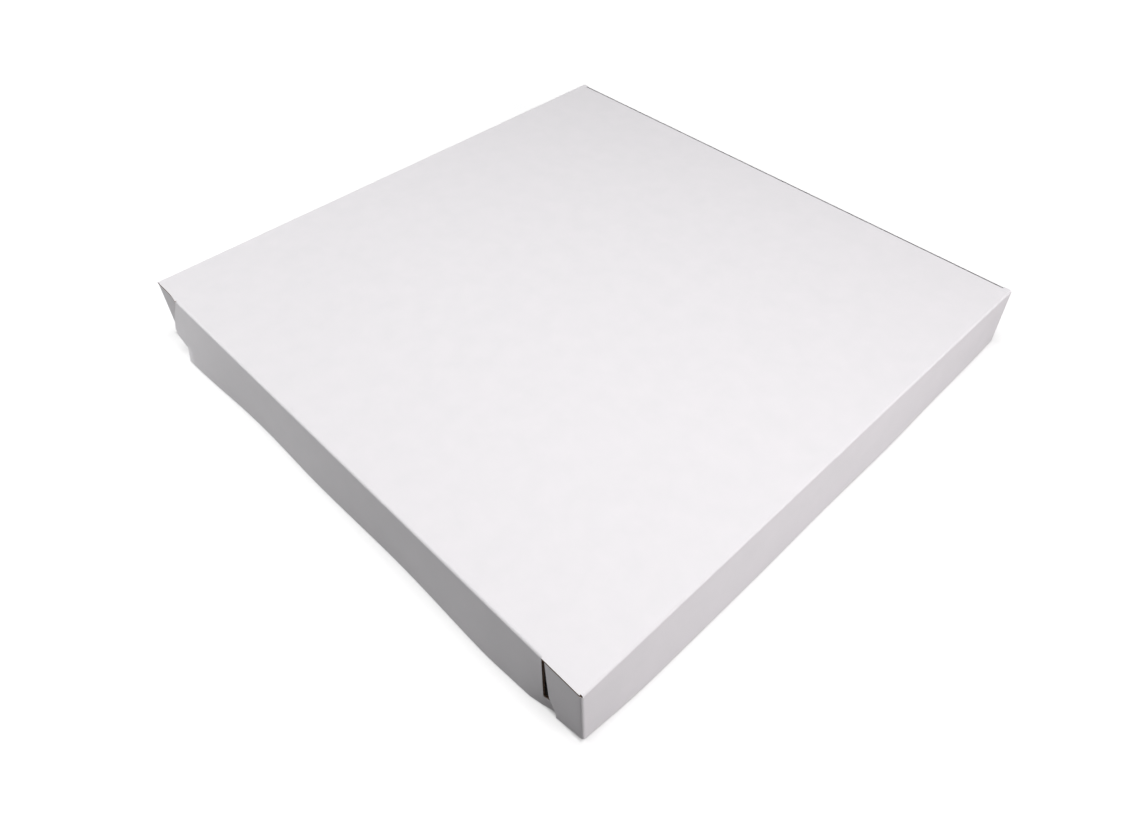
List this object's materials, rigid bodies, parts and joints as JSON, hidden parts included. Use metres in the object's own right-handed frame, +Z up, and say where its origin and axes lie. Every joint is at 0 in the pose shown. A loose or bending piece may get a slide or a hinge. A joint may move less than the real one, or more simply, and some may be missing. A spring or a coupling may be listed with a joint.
{
  "type": "pizza box",
  "caption": "Flat square white carry-out pizza box folded from thin fluted board, with a full-depth lid creased to its tray.",
  "frame": {"origin": "middle of the tray's footprint, on the underside of the tray", "axes": "+Z up, -Y towards the lid's front flap, +Y towards the crease that joins lid and tray, X along the crease"},
  "size_m": [0.3656, 0.3648, 0.0395],
  "materials": {
    "tray_board": "uncoated kraft inside, white outside",
    "lid_board": "smooth matt white outside, kraft inside and on cut edges"
  },
  "bodies": {
    "tray": {"tray": "tray_board"},
    "lid": {"lid": "lid_board"}
  },
  "joints": [
    {"name": "lid_crease", "type": "hinge", "parent": "tray", "child": "lid", "pos_m": [0, 0.179, 0.0395], "axis": [-1, 0, 0], "range_deg": [0, 175]}
  ]
}
